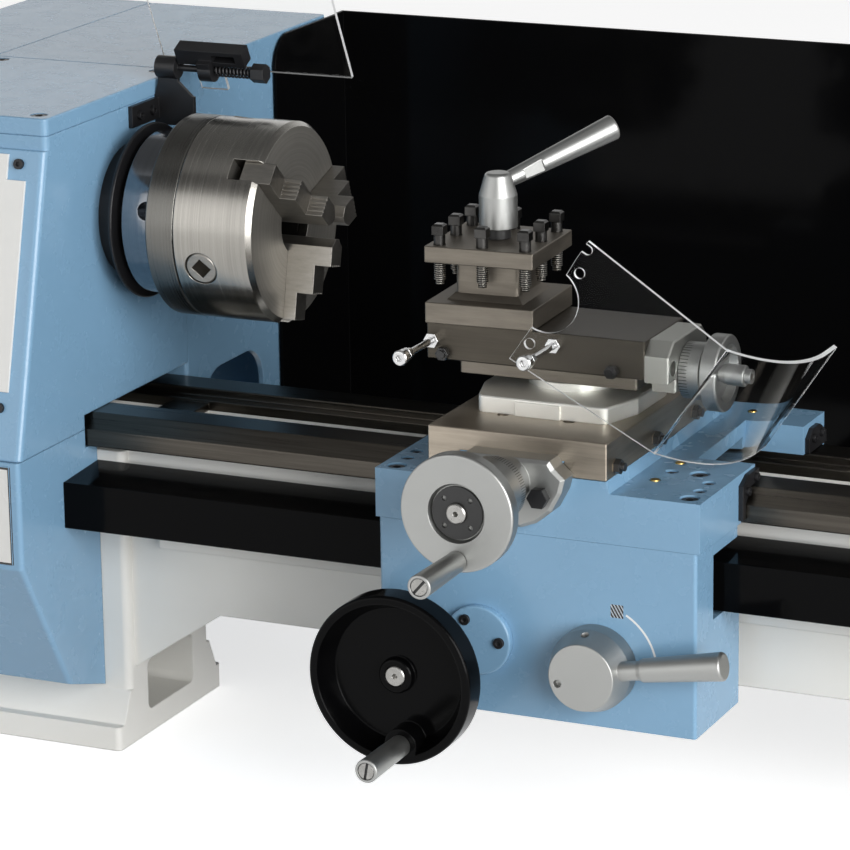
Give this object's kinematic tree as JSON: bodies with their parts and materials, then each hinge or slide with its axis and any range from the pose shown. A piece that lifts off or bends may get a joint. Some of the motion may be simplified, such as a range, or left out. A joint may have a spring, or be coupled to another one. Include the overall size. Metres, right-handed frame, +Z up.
{
  "type": "bench lathe",
  "caption": "Bench metal lathe: geared headstock with jawed chuck and guards, carriage with cross and top slides, tool post, bed on two feet, and tailstock.",
  "frame": {"origin": "centre of the bench bolt pattern on the base plane of the feet", "axes": "+X along the spindle towards the tailstock, +Y to the rear, +Z up"},
  "size_m": [1.198, 0.5818, 0.5313],
  "materials": {
    "blue_paint": "gloss paint on iron",
    "cream_paint": "painted casting with ground ways",
    "gloss_black": "gloss black",
    "black_steel": "blackened steel",
    "white_plate": "white plate",
    "black_plastic": "moulded",
    "red_plastic": "moulded",
    "ground_steel": "ground and turned",
    "satin_aluminium": "satin",
    "grey_casting": "as cast",
    "brass": "turned",
    "clear_sheet": "clear acrylic-like sheet"
  },
  "bodies": {
    "frame": {"bed_casting": "cream_paint", "leadscrew_cover": "gloss_black", "headstock_casting": "blue_paint", "headstock_lid": "blue_paint", "headstock_screws": "black_steel", "control_panel": "white_plate", "lower_housing": "blue_paint", "rear_housing": "blue_paint", "end_cover": "blue_paint", "splash_guard": "gloss_black", "bearing_cap": "black_steel", "guard_bracket": "black_steel", "guard_spring": "ground_steel"},
    "leadscrew": {"leadscrew": "ground_steel"},
    "spindle": {"spindle": "ground_steel", "chuck_backplate": "ground_steel", "chuck_body": "ground_steel"},
    "guard": {"guard_block": "black_steel", "guard_sheet": "clear_sheet"},
    "knob": {"speed_knob": "black_plastic"},
    "stop": {"stop_button": "red_plastic"},
    "carriage": {"saddle": "blue_paint", "saddle_oilers": "brass", "saddle_wipers": "black_steel", "carriage_screws": "black_steel", "apron": "blue_paint", "boss_cover": "satin_aluminium", "cross_bracket": "satin_aluminium"},
    "hand_drive": {"carriage_wheel": "gloss_black", "carriage_shaft": "ground_steel"},
    "hand_grip": {"carriage_grip": "satin_aluminium"},
    "nut_lever": {"half_nut_lever": "satin_aluminium"},
    "nut": {"half_nut": "ground_steel"},
    "cross": {"cross_slide": "ground_steel", "cross_gib": "ground_steel", "swivel_plate": "grey_casting"},
    "cross_drive": {"cross_screw": "ground_steel", "cross_wheel": "satin_aluminium"},
    "cross_handle": {"cross_grip": "satin_aluminium"},
    "compound": {"compound_base": "ground_steel"},
    "top": {"top_slide": "ground_steel", "top_bracket": "satin_aluminium", "top_slide_screws": "ground_steel"},
    "top_drive": {"top_screw": "ground_steel", "top_wheel": "satin_aluminium"},
    "top_handle": {"top_grip": "satin_aluminium"},
    "post": {"tool_post": "ground_steel", "tool_bolts": "ground_steel"},
    "clamp": {"clamp_lever": "satin_aluminium"},
    "shield": {"chip_shield": "clear_sheet"},
    "tail": {"tailstock_body": "blue_paint"},
    "quill": {"tail_quill": "ground_steel"},
    "quill_wheel": {"tail_wheel": "satin_aluminium"},
    "tail_lock": {"tail_clamp": "satin_aluminium"},
    "jaw_a": {"chuck_jaw_a": "ground_steel"},
    "pinion_a": {"chuck_pinion_a": "ground_steel"},
    "jaw_b": {"chuck_jaw_b": "ground_steel"},
    "pinion_b": {"chuck_pinion_b": "ground_steel"},
    "jaw_c": {"chuck_jaw_c": "ground_steel"},
    "pinion_c": {"chuck_pinion_c": "ground_steel"}
  },
  "joints": [
    {"name": "spindle_turn", "type": "hinge", "parent": "frame", "child": "spindle", "pos_m": [0, 0, 0.339], "axis": [1, 0, 0], "continuous": true},
    {"name": "leadscrew_turn", "type": "hinge", "parent": "frame", "child": "leadscrew", "pos_m": [0, -0.072, 0.17], "axis": [1, 0, 0], "continuous": true},
    {"name": "jaw_a_slide", "type": "slide", "parent": "spindle", "child": "jaw_a", "axis": [0, -0.7431, 0.6691], "range_m": [-0.005, 0.008]},
    {"name": "pinion_a_turn", "type": "hinge", "parent": "spindle", "child": "pinion_a", "pos_m": [-0.3155, 0, 0.339], "axis": [0, -0.9511, -0.309], "continuous": true},
    {"name": "jaw_b_slide", "type": "slide", "parent": "spindle", "child": "jaw_b", "axis": [0, 0.9511, 0.309], "range_m": [-0.005, 0.008]},
    {"name": "pinion_b_turn", "type": "hinge", "parent": "spindle", "child": "pinion_b", "pos_m": [-0.3155, 0, 0.339], "axis": [0, 0.2079, 0.9781], "continuous": true},
    {"name": "jaw_c_slide", "type": "slide", "parent": "spindle", "child": "jaw_c", "axis": [0, -0.2079, -0.9781], "range_m": [-0.005, 0.008]},
    {"name": "pinion_c_turn", "type": "hinge", "parent": "spindle", "child": "pinion_c", "pos_m": [-0.3155, 0, 0.339], "axis": [0, 0.7431, -0.6691], "continuous": true},
    {"name": "guard_hinge", "type": "hinge", "parent": "frame", "child": "guard", "pos_m": [-0.396, 0.038, 0.4233], "axis": [1, 0, 0], "range_deg": [0, 63]},
    {"name": "knob_turn", "type": "hinge", "parent": "frame", "child": "knob", "pos_m": [-0.444, -0.13379, 0.27707], "axis": [0, -0.9708, 0.2401], "range_deg": [-135, 135]},
    {"name": "stop_push", "type": "slide", "parent": "frame", "child": "stop", "axis": [0, 0.9708, -0.2401], "range_m": [0, 0.004]},
    {"name": "carriage_slide", "type": "slide", "parent": "frame", "child": "carriage", "axis": [1, 0, 0], "range_m": [-0.045, 0.13]},
    {"name": "hand_turn", "type": "hinge", "parent": "carriage", "child": "hand_drive", "pos_m": [-0.1331, -0.178, 0.1179], "axis": [0, -1, 0], "continuous": true},
    {"name": "hand_grip_turn", "type": "hinge", "parent": "hand_drive", "child": "hand_grip", "pos_m": [-0.126, -0.21, 0.0793], "axis": [0, -1, 0], "continuous": true},
    {"name": "nut_lever_turn", "type": "hinge", "parent": "carriage", "child": "nut_lever", "pos_m": [-0.023, -0.145, 0.1259], "axis": [0, -1, 0], "range_deg": [0, 55]},
    {"name": "nut_lift", "type": "slide", "parent": "carriage", "child": "nut", "axis": [0, 0, 1], "range_m": [0, 0.005]},
    {"name": "cross_feed", "type": "slide", "parent": "carriage", "child": "cross", "axis": [0, 1, 0], "range_m": [0, 0.09]},
    {"name": "cross_turn", "type": "hinge", "parent": "carriage", "child": "cross_drive", "pos_m": [-0.073, -0.214, 0.2362], "axis": [0, 1, 0], "continuous": true},
    {"name": "cross_grip_turn", "type": "hinge", "parent": "cross_drive", "child": "cross_handle", "pos_m": [-0.073, -0.24, 0.2082], "axis": [0, -1, 0], "continuous": true},
    {"name": "swivel", "type": "hinge", "parent": "cross", "child": "compound", "pos_m": [-0.073, -0.043, 0.2748], "axis": [0, 0, 1], "range_deg": [-3, 20]},
    {"name": "top_feed", "type": "slide", "parent": "compound", "child": "top", "axis": [1, 0, 0], "range_m": [0, 0.035]},
    {"name": "top_turn", "type": "hinge", "parent": "top", "child": "top_drive", "pos_m": [0.014, -0.04275, 0.283], "axis": [-1, 0, 0], "continuous": true},
    {"name": "top_grip_turn", "type": "hinge", "parent": "top_drive", "child": "top_handle", "pos_m": [0.034, -0.05675, 0.2867], "axis": [1, 0, 0], "continuous": true},
    {"name": "post_turn", "type": "hinge", "parent": "top", "child": "post", "pos_m": [-0.1226, -0.045, 0.306], "axis": [0, 0, 1], "continuous": true},
    {"name": "clamp_turn", "type": "hinge", "parent": "top", "child": "clamp", "pos_m": [-0.1226, -0.045, 0.353], "axis": [0, 0, 1], "range_deg": [-20, 40]},
    {"name": "shield_swing", "type": "hinge", "parent": "top", "child": "shield", "pos_m": [-0.0736, -0.1163, 0.2989], "axis": [0, -1, 0], "range_deg": [0, 122]},
    {"name": "tail_slide", "type": "slide", "parent": "frame", "child": "tail", "axis": [1, 0, 0], "range_m": [-0.04, 0.015]},
    {"name": "quill_feed", "type": "slide", "parent": "tail", "child": "quill", "axis": [-1, 0, 0], "range_m": [0, 0.04]},
    {"name": "quill_turn", "type": "hinge", "parent": "tail", "child": "quill_wheel", "pos_m": [0.513, 0, 0.339], "axis": [-1, 0, 0], "continuous": true},
    {"name": "tail_lock_turn", "type": "hinge", "parent": "tail", "child": "tail_lock", "pos_m": [0.459, -0.048, 0.285], "axis": [0, -1, 0], "range_deg": [-40, 40]}
  ],
  "couplings": [
    {"joint": "leadscrew_turn", "follows": "spindle_turn", "ratio": 0.1},
    {"joint": "pinion_a_turn", "follows": "jaw_a_slide", "rad_per_m": 2513.3},
    {"joint": "jaw_b_slide", "follows": "jaw_a_slide", "ratio": 1},
    {"joint": "pinion_b_turn", "follows": "jaw_a_slide", "rad_per_m": 2513.3},
    {"joint": "jaw_c_slide", "follows": "jaw_a_slide", "ratio": 1},
    {"joint": "pinion_c_turn", "follows": "jaw_a_slide", "rad_per_m": 2513.3},
    {"joint": "hand_turn", "follows": "carriage_slide", "rad_per_m": 58.824},
    {"joint": "nut_lift", "follows": "nut_lever_turn", "m_per_rad": 0.005105},
    {"joint": "cross_turn", "follows": "cross_feed", "rad_per_m": 1570.8},
    {"joint": "top_turn", "follows": "top_feed", "rad_per_m": -2513.3},
    {"joint": "quill_turn", "follows": "quill_feed", "rad_per_m": 2513.3}
  ]
}
